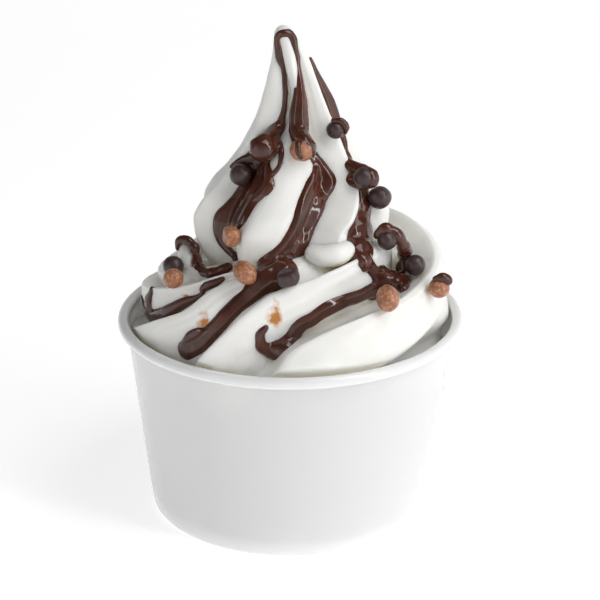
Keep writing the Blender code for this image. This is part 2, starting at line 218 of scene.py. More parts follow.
ON_SKIRT = {
    "front": ((-4, 81, 3.8), (-7, 76, 3.6), (-11, 71, 3.2), (-15, 65, 2.8), (-18, 59, 2.6), (-22, 51, 2.5),
              (-25, 41, 2.4), (-28, 30, 2.3), (-31, 21, 2.3), (-34, 13, 2.6), (-38, 5, 3.1), (-41, 0, 3.0)),
    "front_hook": ((-41, 6, 1.6), (-39.5, 13, 1.3), (-37.5, 18, 1.0), (-35, 21, 0.8), (-33, 19, 0.8),
                   (-32, 14, 0.8)),
    "right": ((41, 84, 3.4), (38, 79, 2.8), (38, 73, 2.3), (42, 70, 1.9), (47, 67.5, 2.0), (54, 66, 2.6),
              (61, 64, 3.0)),
    "right_low": ((61, 64, 3.0), (52, 62, 2.6), (45, 62, 2.4), (35, 59, 2.2), (29, 57, 2.2), (23, 54, 2.5),
                  (18, 51, 2.7), (13, 47, 2.8), (9, 42, 2.8), (5, 38, 2.7), (2, 30, 2.6), (-1, 20, 2.8),
                  (-4, 12, 2.8), (-7, 9, 2.5)),
    "right_hook": ((-6, 9, 2.4), (-9, 11, 2.0), (-11, 17, 1.7), (-11, 25, 1.4), (-9, 31, 1.0)),
    "left": ((-90, 8, 1.0), (-83, 3, 1.9), (-77, 0, 2.4), (-70, 8, 2.3), (-64, 17, 2.1), (-58, 28, 1.9),
             (-52, 39, 1.6), (-46, 48, 1.0), (-43, 53, 0.7)),
    "left_spike": ((-74, 33, 0.5), (-75, 26, 1.1), (-77, 17, 1.9), (-77, 8, 2.2)),
    "left_spot": ((-43.5, 55, 0.9), (-41, 59, 1.4), (-38, 63, 1.3), (-34.5, 68, 0.7)),
}
# Runs that hang between pieces: angle, distance from the axis, height and radius.
HANGING = {
    "crumbs": ((52, 29.5, 85.4, 1.3), (53, 30.2, 86.6, 1.6), (55.3, 31.6, 87.3, 1.8),
               (57.5, 33.5, 85.8, 1.9), (59.5, 35, 83.0, 1.8), (64, 34.3, 80.5, 1.8),
               (72, 33.0, 77.5, 1.7), (80, 32.0, 75.5, 1.6)),
    "arm": ((90, 31.5, 74.6, 1.7), (84, 31.7, 74.0, 1.8), (76, 32.4, 73.1, 1.9), (68, 33.6, 72.4, 1.9),
            (61, 35.4, 71.9, 1.9), (54, 37.6, 71.5, 1.5)),
    "pool": ((52, 30.8, 74.5, 1.8), (56, 31.2, 73.2, 2.3), (61, 31.6, 72.4, 2.4), (63, 33.0, 71.9, 2.3),
             (57, 34.0, 71.9, 2.2)),
    "high_cap": ((47.7, 15.4, 115.1, 0.9), (51.6, 16.6, 115.1, 1.1), (54.5, 17.6, 114.3, 1.2),
                 (55.6, 18.1, 112.8, 1.1), (55.2, 17.9, 111.4, 0.9)),
    "pearl_cap": ((57, 46, 75.7, 0.9), (58.2, 47.4, 76.1, 1.2), (59.4, 48.6, 75.4, 1.2),
                  (59.8, 49.2, 74.4, 0.8)),
    "left_hook": ((-78, 31.6, 77.4, 0.9), (-77, 31.3, 79.6, 1.2), (-74.5, 30, 80.7, 1.3),
                  (-71.7, 28.7, 80.1, 1.3), (-68.8, 27.9, 78.7, 1.4), (-66.4, 27.9, 76.9, 1.5),
                  (-62.4, 28.4, 75.3, 1.6), (-56.3, 28.9, 74.6, 1.6), (-47, 28.8, 75.2, 1.5),
                  (-43, 27.3, 76.1, 1.4), (-39.5, 26, 77.2, 1.3)),
}
HANGING_UNEVENNESS = 0.5
# Pearls that a run may climb over, where its route crosses them.
COVERED = ("pearl_dark_peak_high_left", "pearl_dark_peak_high_right", "pearl_dark_peak_right",
           "pearl_dark_valley_right", "pearl_milk_peak_front")
STEP = 0.5                    # spacing of the drops that make up a run
ROUTE_SAMPLES = 12            # places looked up for each place named in a route
HANGING_SAMPLES = 10
RUN_WAVE = (11.0, 0.12)       # a run's width swings over this length, by this share
RUN_THICKNESS = (0.45, 0.36)  # a run's thickness: least, and added for each millimetre of half width
STRANDS = ((-0.42, 0.8), (0.4, 0.9))   # ridges on a run: place across it, radius
STRAND_SWING = 0.2            # how far they wander across it
STRAND_SIZE = (0.55, 0.12)    # factor on their radius: least, and added as for the thickness
STRAND_RISE = 0.35            # share of their radius that they stand proud on a wide run
STRAND_RUN = 0.9              # half width of a run from which they begin to rise
# Places across and along a drop where the surface under it is felt.  The middle counts twice.
FEELERS = ((0, 0), (0, 0), (0.6, 0), (-0.6, 0), (0, 0.4), (0, -0.4))
FEELER_RADIUS = 25            # radius at which lengths are turned into angles
RAY_START = 70                # rays at the peak start this far from the axis
CORE_RAY_START = 60           # rays at the skirt start this far from the core ring

# Thin brown smears on the yogurt: angle, distance and height, then how far they spread along X, Y and Z.
SMEARS = (((-6, 39.0, 71.0), (4.6, 12.0, 7.5)), ((-34, 40.8, 67.0), (3.8, 12.0, 7.5)),
          ((-50, 35.6, 69.9), (3.6, 12.0, 2.0)))

# ---------------------------------------------------------------- colours
CREAM = (0.86, 0.855, 0.82)
CREAM_LIGHT = (0.90, 0.895, 0.865)
# painted warm shade, laid in creases and hollows of the yogurt where little light reaches
PAINTED_CREASE_SHADE = (0.86, 0.80, 0.60)
SMEAR_BROWN = (0.52, 0.20, 0.035)
SAUCE_COLOURS = ((0.050, 0.014, 0.008), (0.095, 0.026, 0.013))
DARK_COLOURS = ((0.040, 0.021, 0.021), (0.070, 0.040, 0.040))
MILK_COLOURS = ((0.24, 0.082, 0.036), (0.44, 0.185, 0.088))
MILK_PALE = (0.56, 0.29, 0.16)
PAPER_COLOURS = ((0.80, 0.803, 0.803), (0.82, 0.822, 0.82))
WHITE = (1, 1, 1)
BLACK = (0, 0, 0)

# ---------------------------------------------------------------- light
# Strength of the surroundings by the angle they are seen at.
SURROUNDINGS = ((-180, 0.80), (-140, 0.32), (-95, 0.35), (-55, 0.90), (-15, 0.62), (20, 0.95), (60, 1.6),
                (110, 1.3), (180, 0.80))
OVERHEAD = 0.15               # share of it that is left high above
FLOOR_GLOW = 0.62             # the floor's own light, which keeps it white
LIGHT_AIM = (0, 0, 0.07)
# Name, place, size and power of each light, in metres and watts.
LIGHTS = (
    ("key", (0.55, -0.40, 0.46), (0.06, 0.80), 1.8),
    ("over", (0.30, -0.15, 0.70), (0.40, 0.40), 1.5),
    ("edge", (-0.50, -0.40, 0.30), (0.04, 0.50), 0.25),
)

# ---------------------------------------------------------------- camera
CAMERA_ELEVATION = 21.85      # degrees
CAMERA_LENS = 117.5           # millimetres, as the sensor's width
CAMERA_SENSOR = 36
CAMERA_DISTANCE = 0.55        # metres, as the aim and its drop
CAMERA_AIM = (0.00267, 0, 0.060)
CAMERA_DROP = 0.00037         # the aim is this much lower, along the picture's upright


def spline(knots, at):
    """Values at each position of `at` on a smooth curve without overshoot through (position, values...)."""
    table = np.asarray(knots, float)
    x, y = table[:, 0], table[:, 1:]
    width = np.diff(x)[:, None]
    slope = np.diff(y, axis=0) / width
    tangent = np.zeros_like(y)
    before, after = slope[:-1], slope[1:]
    weight_a, weight_b = width[:-1] + 2 * width[1:], 2 * width[:-1] + width[1:]
    turning = before * after <= 0
    safe_a, safe_b = np.where(turning, 1.0, before), np.where(turning, 1.0, after)
    mean = (weight_a + weight_b) / (weight_a / safe_a + weight_b / safe_b)
    tangent[1:-1] = np.where(turning, 0.0, mean)
    tangent[0], tangent[-1] = slope[0], slope[-1]
    at = np.asarray(at, float)
    i = np.clip(np.searchsorted(x, at) - 1, 0, len(x) - 2)
    h = width[i]
    u = np.clip((at - x[i])[..., None] / h, 0, 1)
    return ((2 * u**3 - 3 * u**2 + 1) * y[i] + (u**3 - 2 * u**2 + u) * h * tangent[i]
            + (3 * u**2 - 2 * u**3) * y[i + 1] + (u**3 - u**2) * h * tangent[i + 1])


def fall(from_crest, sweep):
    """Share of the groove's depth at a share of the way from the crest to the groove."""
    return from_crest**sweep if sweep >= 1 else 1 - (1 - from_crest)**(1 / sweep)


def rib_columns(ribs, stations, back_ribs, at, column_width):
    """Angle and sink (0 on a crest, 1 in a groove) for each row and column of a lobed body."""
    grooves = [spline(list(zip(stations, rib[0])), at)[..., 0] for rib in ribs]
    crests = [spline(list(zip(stations, rib[1])), at)[..., 0] for rib in ribs]
    factors = [rib[2] for rib in ribs]
    sweeps = [rib[3:] for rib in ribs] + [(BACK_SWEEP, BACK_SWEEP)] * back_ribs
    full_turn = grooves[0] + 360.0
    start = np.minimum(2 * crests[-1] - grooves[-1], full_turn - BACK_RIB_TURN * back_ribs)
    step = (full_turn - start) / back_ribs
    for k in range(back_ribs):
        grooves.append(start + step * k)
        crests.append(start + step * (k + BACK_CREST))
        factors.append(1.0)
    grooves.append(full_turn)
    factors.append(factors[0])
    angle, sink = [], []
    for k, crest in enumerate(crests):
        for side, start, stop in ((0, grooves[k], crest), (1, crest, grooves[k + 1])):
            columns = max(2, math.ceil((stop - start).max() / column_width))
            for i in range(columns):
                u = i / columns
                from_crest = u if side else 1 - u
                angle.append(start + (stop - start) * u)
                sink.append(factors[k + side] * fall(from_crest, sweeps[k][side]))
    return np.radians(np.array(angle).T), np.array(sink)


def swelling(swells, angle, height):
    """How far local swellings and hollows push a surface outwards."""
    push = 0 * angle
    for at_angle, at_height, wide, tall, depth in swells:
        off = (np.degrees(angle) - at_angle + 180) % 360 - 180
        push = push + depth * np.exp(-(off / wide)**2 - ((height - at_height) / tall)**2)
    return push


def streaks(rows, columns, depth):
    """Fine ridges that run along the ribs, one height per row and column."""
    turns = np.linspace(0, 2 * math.pi, columns, endpoint=False)
    reach = columns / (2 * math.pi * STREAK_COLUMNS)
    circle = [(reach * math.cos(turn), reach * math.sin(turn)) for turn in turns]
    return depth * np.array([[noise.noise(Vector((x, y, STREAK_CHANGES * row))) for x, y in circle]
                             for row in np.linspace(0, 1, rows)])


def peak_points(rows, column_width):
    """Rings of points of the peak, tip first."""
    profile = spline(PEAK, np.linspace(0, PEAK[-1][0], rows + 1)[1:])
    radius, height, shift, share = (profile[:, i:i + 1] for i in range(4))
    angle, sink = rib_columns(PEAK_RIBS, [-z for z in PEAK_AT], PEAK_BACK_RIBS,
                              -height[:, 0], column_width)
    out = radius * (1 - share * sink) + swelling(PEAK_SWELLS, angle, height)
    out = out + streaks(*angle.shape, STREAK_DEPTH) * np.clip(radius / STREAK_FADE, 0, 1)
    return np.stack([shift + out * np.sin(angle), -out * np.cos(angle),
                     height + 0 * angle], axis=-1)


def inner_wall(height):
    """Radius of the cup's inside at a height."""
    foot, top = BASE_RADIUS - WALL, RIM_RADIUS - RIM_TUBE
    return foot + (top - foot) * height / (CUP_HEIGHT - RIM_TUBE)


def clear_of_cup(height):
    """Largest radius of the filling at a height: a gap off the wall and the roll, free above them."""
    in_cup = np.minimum(height, CUP_HEIGHT - 2 * RIM_TUBE)
    return inner_wall(in_cup) - CUP_CLEARANCE + LEAN_OUT * np.clip(height - CUP_HEIGHT, 0, None)


def skirt_points(rows, column_width):
    """Rings of points of the skirt from its top, then down the inside of the cup to its floor."""
    station = np.linspace(0.5, SKIRT[-1][0], rows)
    profile = spline(SKIRT, station)
    radius, height, depth = (profile[:, i:i + 1] for i in range(3))
    angle, sink = rib_columns(SKIRT_RIBS, SKIRT_AT, SKIRT_BACK_RIBS,
                              np.clip(station, 1, None), column_width)
    to_core = np.concatenate([SKIRT_CORE[0] - radius, SKIRT_CORE[1] - height], axis=1)
    to_core /= np.linalg.norm(to_core, axis=1, keepdims=True)
    sink = depth * sink
    sideways = sink * to_core[:, :1] * np.clip(radius / 20, 0, 1)
    radius = radius + sideways + swelling(SKIRT_SWELLS, angle, height)
    height = height + sink * to_core[:, 1:]
    exposed = np.clip((height - SKIRT[-1][2]) / SKIRT_BLEND, 0, 1)
    tilt = SKIRT_TILT * (np.cos(angle - math.radians(SKIRT_HIGH_SIDE)) - 1)
    off = (np.degrees(angle) - SKIRT_DIP[1] + 180) % 360 - 180
    dip = -SKIRT_DIP[0] * np.exp(-(off / SKIRT_DIP[2])**2)
    height = height + (tilt + dip) * exposed
    radius = radius + streaks(*angle.shape, STREAK_DEPTH) * exposed
    radius = np.minimum(radius, clear_of_cup(height))
    rings = [np.stack([radius * np.sin(angle), -radius * np.cos(angle), height], axis=-1)]
    for z in np.linspace(SKIRT[-1][2] - 8, FLOOR_TOP + GAP, 4):
        r = clear_of_cup(z)
        rings.append(np.stack([r * np.sin(angle[-1]), -r * np.cos(angle[-1]),
                               np.full_like(angle[-1], z)], axis=-1)[None])
    return np.concatenate(rings)


# ---------------------------------------------------------------- meshes
def new_object(name, bm, material):
    mesh = bpy.data.meshes.new(name)
    bm.to_mesh(mesh)
    bm.free()
    mesh.materials.append(material)
    mesh.shade_smooth()
    obj = bpy.data.objects.new(name, mesh)
    bpy.context.scene.collection.objects.link(obj)
    return obj


def lofted(name, rings, ends, material):
    """Closed solid through rings of points (mm), closed by fans of triangles to its two end points."""
    rows, cols = rings.shape[:2]
    bm = bmesh.new()
    grid = [[bm.verts.new(Vector(p) * MM) for p in ring] for ring in rings]
    for upper, lower in zip(grid, grid[1:]):
        for j in range(cols):
            k = (j + 1) % cols
            bm.faces.new((upper[j], lower[j], lower[k], upper[k]))
    for end, ring, order in ((ends[0], 0, 1), (ends[1], -1, -1)):
        centre = bm.verts.new(Vector(end) * MM)
        for j in range(cols):
            bm.faces.new((centre, grid[ring][j], grid[ring][(j + 1) % cols])[::order])
    return new_object(name, bm, material)


def apply_modifiers(obj):
    """Turns the object's evaluated shape into its own mesh."""
    bpy.context.view_layer.update()
    evaluated = obj.evaluated_get(bpy.context.evaluated_depsgraph_get())
    mesh = bpy.data.meshes.new_from_object(evaluated)
    old = obj.data
    obj.modifiers.clear()
    obj.data = mesh
    bpy.data.meshes.remove(old)
    mesh.name = obj.name


def mesh_arrays(mesh):
    """Positions and normals of a mesh's vertices, in millimetres."""
    points = np.empty(len(mesh.vertices) * 3)
    normals = np.empty_like(points)
    mesh.vertices.foreach_get("co", points)
    mesh.vertices.foreach_get("normal", normals)
    return points.reshape(-1, 3) / MM, normals.reshape(-1, 3)


def set_points(mesh, points):
    mesh.vertices.foreach_set("co", (points * MM).ravel())
    mesh.update()


def roughen(mesh, waves, fade=lambda p: 1.0):
    """Pushes each vertex along its normal by layers of noise: (size, depth) in millimetres."""
    points, normals = mesh_arrays(mesh)
    push = np.zeros(len(points))
    for size, depth in waves:
        push += [depth * noise.noise(Vector(p) / size) for p in points]
    set_points(mesh, points + normals * (push * fade(points))[:, None])


# ---------------------------------------------------------------- materials
class Shader:
    """A material's Principled shader with short calls for the nodes that feed it."""

    def __init__(self, name, **values):
        self.material = bpy.data.materials.new(name)
        self.material.use_nodes = True
        self.tree = self.material.node_tree
        self.principled = self.tree.nodes["Principled BSDF"]
        for socket, value in values.items():
            self.principled.inputs[socket.replace("_", " ")].default_value = value

    def add(self, kind, **values):
        node = self.tree.nodes.new(kind)
        for name, value in values.items():
            if hasattr(node, name):
                setattr(node, name, value)
            else:
                node.inputs[name.replace("_", " ")].default_value = value
        return node

    def link(self, output, target):
        self.tree.links.new(output, target)

    def place(self):
        return self.add("ShaderNodeTexCoord").outputs["Object"]

    def grain(self, size, detail=3.0):
        """Noise whose blobs are about `size` millimetres."""
        node = self.add("ShaderNodeTexNoise", Scale=1 / (size * MM), Detail=detail)
        self.link(self.place(), node.inputs["Vector"])
        return node.outputs["Fac"]

    def patch(self, place, size):
        """Share of a small smear round a place, with ragged soft edges; place and size in millimetres."""
        offset = self.add("ShaderNodeVectorMath", operation="SUBTRACT")
        self.link(self.place(), offset.inputs[0])
        offset.inputs[1].default_value = place * MM
        scaled = self.add("ShaderNodeVectorMath", operation="DIVIDE")
        self.link(offset.outputs[0], scaled.inputs[0])
        scaled.inputs[1].default_value = Vector(size) * MM
        length = self.add("ShaderNodeVectorMath", operation="LENGTH")
        self.link(scaled.outputs[0], length.inputs[0])
        ragged = self.add("ShaderNodeMath", operation="ADD")
        self.link(length.outputs["Value"], ragged.inputs[0])
        self.link(self.grain(2.5, 2.0), ragged.inputs[1])
        return self.ramp(ragged.outputs[0], (0.68, WHITE), (0.82, (0.4, 0.4, 0.4)), (1.0, BLACK))

    def ramp(self, factor, *stops):
        """A colour ramp through (position, colour)."""
        node = self.add("ShaderNodeValToRGB")
        elements = node.color_ramp.elements
        while len(elements) < len(stops):
            elements.new(0.5)
        for element, (position, colour) in zip(elements, stops):
            element.position = position
            element.color = (*colour, 1)
        self.link(factor, node.inputs["Fac"])
        return node.outputs["Color"]

    def mix(self, factor, a, b):
        node = self.add("ShaderNodeMix", data_type="RGBA")
        self.link(factor, node.inputs["Factor"])
        for socket, colour in ((node.inputs["A"], a), (node.inputs["B"], b)):
            if isinstance(colour, tuple):
                socket.default_value = (*colour, 1)
            else:
                self.link(colour, socket)
        return node.outputs["Result"]

    def colour(self, output):
        self.link(output, self.principled.inputs["Base Color"])

    def rough(self, factor, low, high):
        node = self.add("ShaderNodeMapRange")
        self.link(factor, node.inputs["Value"])
        node.inputs["To Min"].default_value = low
        node.inputs["To Max"].default_value = high
        self.link(node.outputs["Result"], self.principled.inputs["Roughness"])

    def bump(self, *layers):
        """Bumps from (height output, depth in millimetres)."""
        normal = None
        for height, depth in layers:
            node = self.add("ShaderNodeBump", Distance=depth * MM, Strength=1.0)
            self.link(height, node.inputs["Height"])
            if normal:
                self.link(normal, node.inputs["Normal"])
            normal = node.outputs["Normal"]
        self.link(normal, self.principled.inputs["Normal"])


def yogurt_material():
    s = Shader("yogurt", Roughness=0.42, Subsurface_Weight=0.7, Subsurface_Scale=0.003,
               Subsurface_Radius=(1.0, 0.97, 0.85), Coat_Weight=0.12, Coat_Roughness=0.3)
    # painted shade: where ambient occlusion finds little open air, in creases and hollows, the cream turns
    # a warm yellow-grey
    crease_shade_ao = s.add("ShaderNodeAmbientOcclusion", samples=6, Distance=5 * MM)
    colour = s.mix(s.ramp(crease_shade_ao.outputs["AO"], (0.1, BLACK), (0.45, WHITE)),
                   PAINTED_CREASE_SHADE, s.ramp(s.grain(9.0), (0.35, CREAM), (0.7, CREAM_LIGHT)))
    for (angle, distance, height), size in SMEARS:
        turn = math.radians(angle)
        place = Vector((distance * math.sin(turn), -distance * math.cos(turn), height))
        colour = s.mix(s.patch(place, size), colour, SMEAR_BROWN)
    s.colour(colour)
    s.rough(s.grain(4.0), 0.36, 0.5)
    s.bump((s.grain(1.6, 5.0), 0.06), (s.grain(0.35, 2.0), 0.012))
    return s.material


def sauce_material():
    s = Shader("sauce", Roughness=0.1, Specular_IOR_Level=0.5)
    s.colour(s.ramp(s.grain(5.0), (0.3, SAUCE_COLOURS[0]), (0.75, SAUCE_COLOURS[1])))
    s.rough(s.grain(3.0), 0.04, 0.11)
    s.bump((s.grain(3.0, 1.0), 0.02))
    return s.material


def dark_pearl_material():
    s = Shader("dark_chocolate", Roughness=0.35, Specular_IOR_Level=0.45)
    s.colour(s.ramp(s.grain(1.2), (0.3, DARK_COLOURS[0]), (0.8, DARK_COLOURS[1])))
    s.rough(s.grain(0.8), 0.28, 0.42)
    s.bump((s.grain(0.9, 4.0), 0.05))
    return s.material


def milk_pearl_material():
    s = Shader("milk_chocolate", Roughness=0.45, Coat_Weight=0.2, Coat_Roughness=0.25)
    speckle = s.add("ShaderNodeTexVoronoi", Scale=1 / (1.1 * MM))
    s.link(s.place(), speckle.inputs["Vector"])
    base = s.ramp(s.grain(1.0, 5.0), (0.3, MILK_COLOURS[0]), (0.7, MILK_COLOURS[1]))
    pale = s.ramp(speckle.outputs["Distance"], (0.0, WHITE), (0.5, BLACK))
    s.colour(s.mix(pale, base, MILK_PALE))
    s.rough(s.grain(0.7), 0.28, 0.45)
    s.bump((s.grain(0.7, 5.0), 0.12), (speckle.outputs["Distance"], 0.08))
    return s.material


def paper_material():
    s = Shader("cup_paper", Roughness=0.22, Coat_Weight=0.35, Coat_Roughness=0.04,
               Subsurface_Weight=0.9, Subsurface_Scale=0.002, Subsurface_Radius=(1.0, 1.0, 1.0))
    s.colour(s.ramp(s.grain(30.0), (0.3, PAPER_COLOURS[0]), (0.7, PAPER_COLOURS[1])))
    s.rough(s.grain(12.0), 0.18, 0.28)
    s.bump((s.grain(0.5, 4.0), 0.006), (s.grain(14.0, 1.0), 0.04))
    return s.material


# ---------------------------------------------------------------- the pieces
def in_the_wall(radius, height, rim_height):
    """Whether a point of the roll lies inside the thickness of the wall under it."""
    return radius < TOP_RADIUS and height < rim_height - 0.05 and radius > inner_wall(height) + 0.01


def build_cup(material):
    """Turned shell with a rolled rim, and a glued overlap down the wall."""
    rim_height = CUP_HEIGHT - RIM_TUBE
    profile = [
        (0, FLOOR_TOP),
        (inner_wall(FLOOR_TOP) - 1.0, FLOOR_TOP),
        (inner_wall(FLOOR_TOP), FLOOR_TOP + 1.0),
    ]
    profile += [(inner_wall(z), z) for z in np.linspace(FLOOR_TOP + 4, rim_height - 3, 8)]
    for degrees in range(180, -181, -12):
        turn = math.radians(degrees)
        profile.append((RIM_RADIUS + RIM_TUBE * math.cos(turn), rim_height + RIM_TUBE * math.sin(turn)))
    under = rim_height - RIM_TUBE * 0.9
    profile = [p for p in profile if not in_the_wall(*p, rim_height)]
    for z in np.linspace(under, 1.2, 12):
        profile.append((BASE_RADIUS + (TOP_RADIUS - BASE_RADIUS) * z / under, z))
    profile += [
        (BASE_RADIUS - 0.05, 0.45),
        (BASE_RADIUS - 0.3, 0.08),
        (BASE_RADIUS - 0.6, 0),
        (BASE_RADIUS - FOOT_WIDTH, 0),
        (BASE_RADIUS - FOOT_WIDTH, FLOOR_TOP - FLOOR_THICK),
        (0, FLOOR_TOP - FLOOR_THICK),
    ]
    bm = bmesh.new()
    turns = [2 * math.pi * i / CUP_SEGMENTS for i in range(CUP_SEGMENTS)]
    rings = []
    for radius, height in profile:
        if radius == 0:
            rings.append([bm.verts.new((0, 0, height * MM))])
            continue
        on_wall = 2 < height < under and radius > inner_wall(height) + 0.3
        ring = []
        for turn in turns:
            from_seam = (math.degrees(turn) - SEAM_AT) * math.radians(1) * radius
            proud = SEAM_STEP * (0 < from_seam < SEAM_WIDTH) if on_wall else 0
            r = (radius + proud) * MM
            ring.append(bm.verts.new((r * math.sin(turn), -r * math.cos(turn), height * MM)))
        rings.append(ring)
    for a, b in zip(rings, rings[1:]):
        for j in range(CUP_SEGMENTS):
            k = (j + 1) % CUP_SEGMENTS
            corners = [a[j % len(a)], a[k % len(a)], b[k % len(b)], b[j % len(b)]]
            bm.faces.new(list(dict.fromkeys(corners)))
    bmesh.ops.recalc_face_normals(bm, faces=bm.faces)
    return new_object("paper_cup", bm, material)


def build_yogurt(material):
    """Skirt and peak, joined, with the soft unevenness of piped yogurt."""
    skirt = lofted("swirl", skirt_points(SKIRT_ROWS, COLUMN_WIDTH),
                   ((0, 0, SKIRT[0][2]), (0, 0, FLOOR_TOP + GAP)), material)
    peak = lofted("peak", peak_points(PEAK_ROWS, COLUMN_WIDTH),
                  ((PEAK[0][3], 0, PEAK[0][2]), (0, 0, PEAK[-1][2])), material)
    union = skirt.modifiers.new("peak", "BOOLEAN")
    union.operation = "UNION"
    union.solver = "EXACT"
    union.object = peak
    soften = skirt.modifiers.new("soften", "SMOOTH")
    soften.factor = 0.5
    soften.iterations = 2
    apply_modifiers(skirt)
    bpy.data.objects.remove(peak, do_unlink=True)
    roughen(skirt.data, YOGURT_WAVES, lambda p: np.clip((p[:, 2] - CUP_HEIGHT) / WAVES_FADE, 0, 1))
    skirt.data.shade_smooth()
    return skirt


def on_peak(surface, angle, height):
    """Where a level ray from outside meets the swirl at an angle and a height, and the normal there."""
    turn = math.radians(angle)
    out = Vector((math.sin(turn), -math.cos(turn), 0))
    start = (out * RAY_START + Vector((0, 0, height))) * MM
    return surface.ray_cast(start, -out)[:2]


def on_skirt(surface, angle, lean):
    """Where a ray towards the core ring meets the swirl."""
    turn, rise = math.radians(angle), math.radians(lean)
    out = Vector((math.sin(turn), -math.cos(turn), 0))
    aim = out * math.cos(rise) + Vector((0, 0, math.sin(rise)))
    core = out * SKIRT_CORE[0] + Vector((0, 0, SKIRT_CORE[1]))
    return surface.ray_cast((core + aim * CORE_RAY_START) * MM, -aim)[:2]


def settle(surface, find, angle, level, half):
    """Mean place and facing of the surface under a drop that is `half` wide to each side."""
    points, normals = [], []
    for across, down in FEELERS:
        turn = math.degrees(across * half / FEELER_RADIUS)
        step = down * half if find is on_peak else math.degrees(down * half / FEELER_RADIUS)
        hit, normal = find(surface, angle + turn, level + step)
        if hit is not None:
            points.append(hit / MM)
            normals.append(normal)
    if not points:
        return None
    return sum(points, Vector()) / len(points), sum(normals, Vector()).normalized()


def run_of_drops(surface, find, route, seed):
    """Drops (x, y, z, radius) along a route, sunk so that they stand out by its width and thickness,
    and thin strands along it."""
    knots = np.array(route, float)
    places = np.linspace(0, len(knots) - 1, ROUTE_SAMPLES * len(knots))
    found = []
    for angle, level, half in spline(np.column_stack([np.arange(len(knots)), knots]), places):
        under = settle(surface, find, angle, level, half)
        if under:
            found.append((*under[0], *under[1], half))
    found = np.array(found)
    length = np.concatenate([[0], np.cumsum(np.linalg.norm(np.diff(found[:, :3], axis=0), axis=1))])
    at = np.linspace(0, length[-1], max(2, round(length[-1] / STEP)))
    table = np.column_stack([np.interp(at, length, column) for column in found.T])
    place, normal, half = table[:, :3], table[:, 3:6], table[:, 6:]
    normal /= np.linalg.norm(normal, axis=1, keepdims=True)
    wave = np.array([[noise.noise(Vector((s / RUN_WAVE[0], seed, k))) for k in range(1 + len(STRANDS))]
                     for s in at])
    half = half * (1 + RUN_WAVE[1] * wave[:, :1])
    thick = RUN_THICKNESS[0] + RUN_THICKNESS[1] * half
    radius = (half**2 + thick**2) / (2 * thick)
    drops = [np.column_stack([place - normal * (radius - thick), radius])]
    along = np.gradient(place, axis=0)
    across = np.cross(along, normal)
    across /= np.linalg.norm(across, axis=1, keepdims=True) + 1e-9
    for k, (offset, size) in enumerate(STRANDS):
        side = (offset + STRAND_SWING * wave[:, k + 1:k + 2]) * half
        size = size * (STRAND_SIZE[0] + STRAND_SIZE[1] * half)
        top = np.sqrt(np.maximum(radius**2 - side**2, 0)) - (radius - thick)
        rise = STRAND_RISE * size * np.clip(half - STRAND_RUN, 0, 1)
        drops.append(np.column_stack([place + across * side + normal * (top - size + rise), size]))
    return np.concatenate(drops)


def hanging_drops(route, seed, unevenness):
    """Drops (x, y, z, radius) through places given as angle, distance, height and radius."""
    knots = np.array(route, float)
    turn = np.radians(knots[:, 0])
    knots = np.column_stack([knots[:, 1] * np.sin(turn), -knots[:, 1] * np.cos(turn), knots[:, 2:]])
    at = np.linspace(0, len(knots) - 1, HANGING_SAMPLES * len(knots))
    table = spline(np.column_stack([np.arange(len(knots)), knots]), at)
    swing = [noise.noise(Vector(drop[:3]) / 2.0 + Vector((0, 0, seed))) for drop in table]
    table[:, 3] *= 1 + unevenness * np.array(swing)
    return table


def build_sauce(surface, material):
    """Runs of sauce as chains of drops, melted together."""
    runs = [(find, route) for find, routes in ((on_peak, ON_PEAK), (on_skirt, ON_SKIRT))
            for route in routes.values()]
    drops = [run_of_drops(surface, find, route, 7 * seed) for seed, (find, route) in enumerate(runs)]
    drops += [hanging_drops(route, seed, HANGING_UNEVENNESS) for seed, route in enumerate(HANGING.values())]
    return melted("sauce", np.concatenate(drops), material, SAUCE_VOXEL, SAUCE_SMOOTHING)


def build_lumps(material):
    """Soft lumps of yogurt: one at the left of the swirl, one at the front right of the peak's foot."""
    drops = [hanging_drops(lump, 5, LUMP_UNEVENNESS) for lump in LUMPS]
    return melted("lumps", np.concatenate(drops), material, LUMP_VOXEL, LUMP_SMOOTHING)


def melted(name, drops, material, voxel, smoothing):
    """Drops (x, y, z, radius) melted into one body."""
    ball = bmesh.new()
    bmesh.ops.create_icosphere(ball, subdivisions=3, radius=1)
    corners = np.array([v.co for v in ball.verts])
    faces = np.array([[v.index for v in f.verts] for f in ball.faces])
    ball.free()
    points = drops[:, None, :3] + drops[:, None, 3:] * corners
    faces = faces + len(corners) * np.arange(len(drops))[:, None, None]
    mesh = bpy.data.meshes.new(name)
    mesh.from_pydata((points.reshape(-1, 3) * MM).tolist(), [], faces.reshape(-1, 3).tolist())
    mesh.materials.append(material)
    body = bpy.data.objects.new(name, mesh)
    bpy.context.scene.collection.objects.link(body)
    melt = body.modifiers.new("melt", "REMESH")
    melt.mode = "VOXEL"
    melt.voxel_size = voxel * MM
    soften = body.modifiers.new("soften", "SMOOTH")
    soften.factor = 0.5
    soften.iterations = smoothing
    apply_modifiers(body)
    body.data.shade_smooth()
    return body


def surface_under_sauce(pieces):
    """BVH tree of the pieces that the sauce runs over."""
    points, faces = [], []
    for piece in pieces:
        mesh = piece.data
        faces += [[len(points) + i for i in face.vertices] for face in mesh.polygons]
        points += [v.co for v in mesh.vertices]
    return BVHTree.FromPolygons(points, faces)


